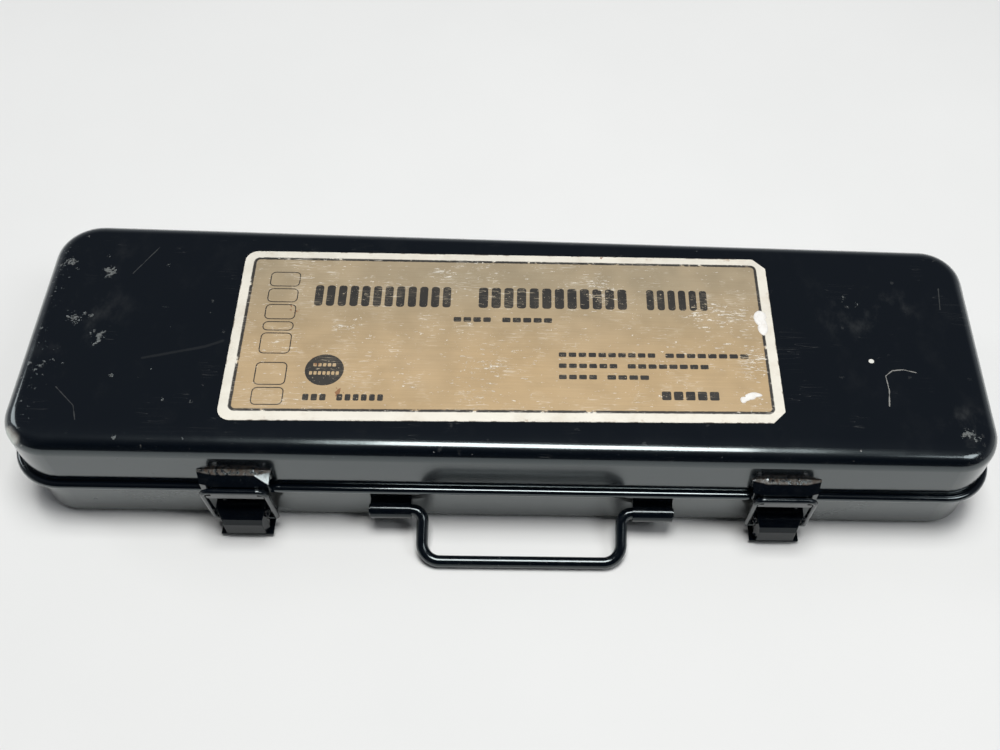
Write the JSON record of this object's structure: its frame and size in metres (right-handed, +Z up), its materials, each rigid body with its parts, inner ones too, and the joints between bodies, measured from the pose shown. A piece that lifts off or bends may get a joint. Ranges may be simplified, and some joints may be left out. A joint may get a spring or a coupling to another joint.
{
  "type": "socket wrench set in case",
  "caption": "Flat black sheet-steel tool case with two draw latches and a wire handle, holding a ratchet, an extension bar and a row of twelve-point sockets in a pressed insert.",
  "frame": {"origin": "centre of the case's underside, on the surface that it rests on", "axes": "+X along the case's length, to the right as seen from the latch side; -Y towards the latches and handle; +Z up through the lid"},
  "size_m": [0.3752, 0.1344, 0.0495],
  "materials": {
    "black_paint": "gloss, worn",
    "label_foil": "satin gold foil, scratched",
    "chrome_plate": "polished",
    "plain_steel": "satin",
    "rack_paint": "satin"
  },
  "bodies": {
    "pan": {"pan": "black_paint", "hinge_leaf_pan_left": "plain_steel", "hinge_leaf_pan_right": "plain_steel", "hinge_pin_left": "plain_steel", "hinge_pin_right": "plain_steel", "handle_clip_left": "black_paint", "handle_clip_right": "black_paint", "latch_base_left": "black_paint", "latch_base_right": "black_paint", "latch_pin_left": "plain_steel", "latch_pin_right": "plain_steel", "insert_rack": "rack_paint", "ratchet_body": "chrome_plate", "ratchet_cover": "chrome_plate", "ratchet_screws": "plain_steel", "extension_bar": "chrome_plate", "extension_ball": "plain_steel", "socket_7_16": "chrome_plate", "socket_1_2": "chrome_plate", "socket_9_16": "chrome_plate", "socket_5_8": "chrome_plate", "socket_11_16": "chrome_plate", "socket_3_4": "chrome_plate", "socket_13_16": "chrome_plate", "socket_7_8": "chrome_plate", "socket_15_16": "chrome_plate", "socket_1_inch": "chrome_plate"},
    "lid": {"lid": "black_paint", "label": "label_foil", "hinge_leaf_lid_left": "plain_steel", "hinge_leaf_lid_right": "plain_steel", "latch_strike_left": "black_paint", "latch_strike_right": "black_paint"},
    "handle": {"carry_handle": "black_paint"},
    "lever_left": {"latch_lever_left": "black_paint"},
    "lever_right": {"latch_lever_right": "black_paint"},
    "loop_left": {"latch_loop_left": "black_paint"},
    "loop_right": {"latch_loop_right": "black_paint"},
    "ratchet_drive": {"ratchet_gear": "plain_steel", "ratchet_ball": "plain_steel"},
    "ratchet_direction": {"ratchet_selector": "chrome_plate", "ratchet_pawl": "plain_steel"}
  },
  "joints": [
    {"name": "lid_hinge", "type": "hinge", "parent": "pan", "child": "lid", "pos_m": [0, 0.0564, 0.0246], "axis": [-1, 0, 0], "range_deg": [0, 110]},
    {"name": "handle_swing", "type": "hinge", "parent": "pan", "child": "handle", "pos_m": [0.003, -0.0566, 0.012], "axis": [-1, 0, 0], "range_deg": [-60, 100]},
    {"name": "lever_left_hinge", "type": "hinge", "parent": "pan", "child": "lever_left", "pos_m": [-0.103, -0.0592, 0.0132], "axis": [-1, 0, 0], "range_deg": [0, 120]},
    {"name": "loop_left_hinge", "type": "hinge", "parent": "lever_left", "child": "loop_left", "pos_m": [-0.103, -0.058, 0.0082], "axis": [-1, 0, 0], "range_deg": [-146, 0]},
    {"name": "lever_right_hinge", "type": "hinge", "parent": "pan", "child": "lever_right", "pos_m": [0.103, -0.0592, 0.0132], "axis": [-1, 0, 0], "range_deg": [0, 120]},
    {"name": "loop_right_hinge", "type": "hinge", "parent": "lever_right", "child": "loop_right", "pos_m": [0.103, -0.058, 0.0082], "axis": [-1, 0, 0], "range_deg": [-146, 0]},
    {"name": "drive_turn", "type": "hinge", "parent": "pan", "child": "ratchet_drive", "pos_m": [-0.12, 0.03, 0.02], "axis": [0, 0, 1], "continuous": true},
    {"name": "direction_switch", "type": "hinge", "parent": "pan", "child": "ratchet_direction", "pos_m": [-0.1024, 0.03, 0.03], "axis": [0, 0, 1], "range_deg": [-12, 12]}
  ],
  "couplings": [
    {"joint": "loop_left_hinge", "follows": "lever_left_hinge", "ratio": -1.21},
    {"joint": "loop_right_hinge", "follows": "lever_right_hinge", "ratio": -1.21}
  ]
}
